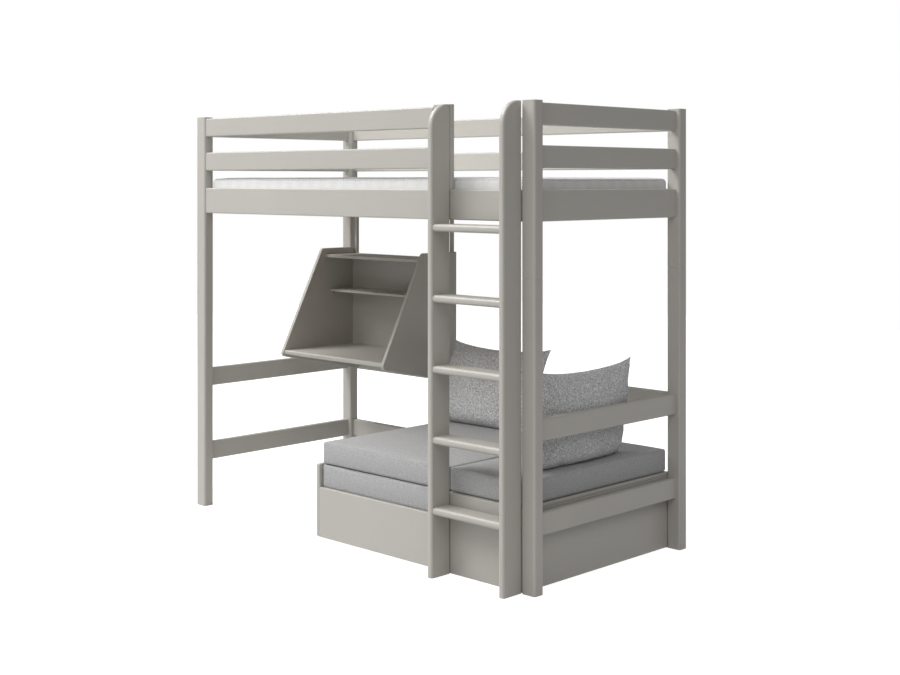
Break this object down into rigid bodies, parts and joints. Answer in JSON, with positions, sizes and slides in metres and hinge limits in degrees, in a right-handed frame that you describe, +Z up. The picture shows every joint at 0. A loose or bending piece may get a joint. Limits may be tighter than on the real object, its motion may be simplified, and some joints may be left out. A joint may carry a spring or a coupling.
{
  "type": "loft bed with desk",
  "caption": "High single bed on split posts with guard rails, a ladder, a hanging desk with shelves and a low sofa whose left half rolls out as a second bed.",
  "frame": {"origin": "on the floor under the middle of the whole object, ladder included", "axes": "+X along the bed's length from the desk end to the ladder end, +Y from the ladder side to the back, +Z up"},
  "size_m": [2.141, 1.073, 1.85],
  "materials": {
    "painted_wood": "warm light grey satin paint on fine-grained timber and board, edges softly rounded",
    "raw_wood": "plain sanded softwood, unpainted",
    "zinc_steel": "zinc-plated steel",
    "black_metal": "black-coated pins",
    "wheel_rubber": "dark grey moulded wheels",
    "mattress_fabric": "white knitted mattress cover with piped edges",
    "cushion_fabric": "mid-grey woven upholstery fabric with seams along the edges",
    "pillow_fabric": "heather grey coarse melange weave with a plain seam round the edge"
  },
  "bodies": {
    "root": {"post_front_left_lower": "painted_wood", "post_front_left_upper": "painted_wood", "post_front_right_lower": "painted_wood", "post_front_right_upper": "painted_wood", "post_rear_left_lower": "painted_wood", "post_rear_left_upper": "painted_wood", "post_rear_right_lower": "painted_wood", "post_rear_right_upper": "painted_wood", "guard_rail_front_top": "painted_wood", "guard_rail_front_middle": "painted_wood", "guard_rail_back_top": "painted_wood", "guard_rail_back_middle": "painted_wood", "guard_rail_left_top": "painted_wood", "guard_rail_left_middle": "painted_wood", "guard_rail_right_top": "painted_wood", "guard_rail_right_middle": "painted_wood", "guard_end_board": "painted_wood", "bed_side_front": "painted_wood", "bed_side_back": "painted_wood", "bed_end_left": "painted_wood", "bed_end_right": "painted_wood", "lower_rail_left_middle": "painted_wood", "lower_rail_left_low": "painted_wood", "lower_rail_right_middle": "painted_wood", "lower_rail_right_low": "painted_wood", "lower_rail_back_middle": "painted_wood", "lower_rail_back_low": "painted_wood", "ladder_stringer_left": "painted_wood", "ladder_stringer_right": "painted_wood", "ladder_rungs": "painted_wood", "desk_side_left": "painted_wood", "desk_side_right": "painted_wood", "desk_back_panel": "painted_wood", "desk_top_shelf": "painted_wood", "desk_middle_shelf": "painted_wood", "desk_worktop": "painted_wood", "desk_hanging_battens": "painted_wood", "sofa_front_board": "painted_wood", "sofa_back_board": "painted_wood", "sofa_end_board": "painted_wood", "sofa_platform": "painted_wood", "slat_ledges": "raw_wood", "bed_slats": "raw_wood", "sofa_base_frame": "raw_wood", "sofa_fixed_slats": "raw_wood", "frame_connectors": "zinc_steel", "desk_shelf_pins": "black_metal", "mattress": "mattress_fabric", "sofa_cushion_end": "cushion_fabric", "pillow_back": "pillow_fabric", "pillow_end": "pillow_fabric"},
    "tray": {"tray_end_panel": "painted_wood", "tray_side_boards": "painted_wood", "tray_slats": "raw_wood", "tray_cross_rail": "raw_wood", "tray_axle_blocks": "raw_wood", "sofa_cushion_lower": "cushion_fabric", "sofa_cushion_upper": "cushion_fabric"},
    "wheels_left": {"tray_wheels_left": "wheel_rubber"},
    "wheels_right": {"tray_wheels_right": "wheel_rubber"}
  },
  "joints": [
    {"name": "tray_slide", "type": "slide", "parent": "root", "child": "tray", "axis": [-1, 0, 0], "range_m": [0, 0.728]},
    {"name": "wheels_left_spin", "type": "hinge", "parent": "tray", "child": "wheels_left", "pos_m": [-0.1455, 0.0355, 0.022], "axis": [0, 1, 0], "continuous": true},
    {"name": "wheels_right_spin", "type": "hinge", "parent": "tray", "child": "wheels_right", "pos_m": [0.5905, 0.0355, 0.022], "axis": [0, 1, 0], "continuous": true}
  ],
  "couplings": [
    {"joint": "wheels_left_spin", "follows": "tray_slide", "rad_per_m": -45.455},
    {"joint": "wheels_right_spin", "follows": "tray_slide", "rad_per_m": -45.455}
  ]
}
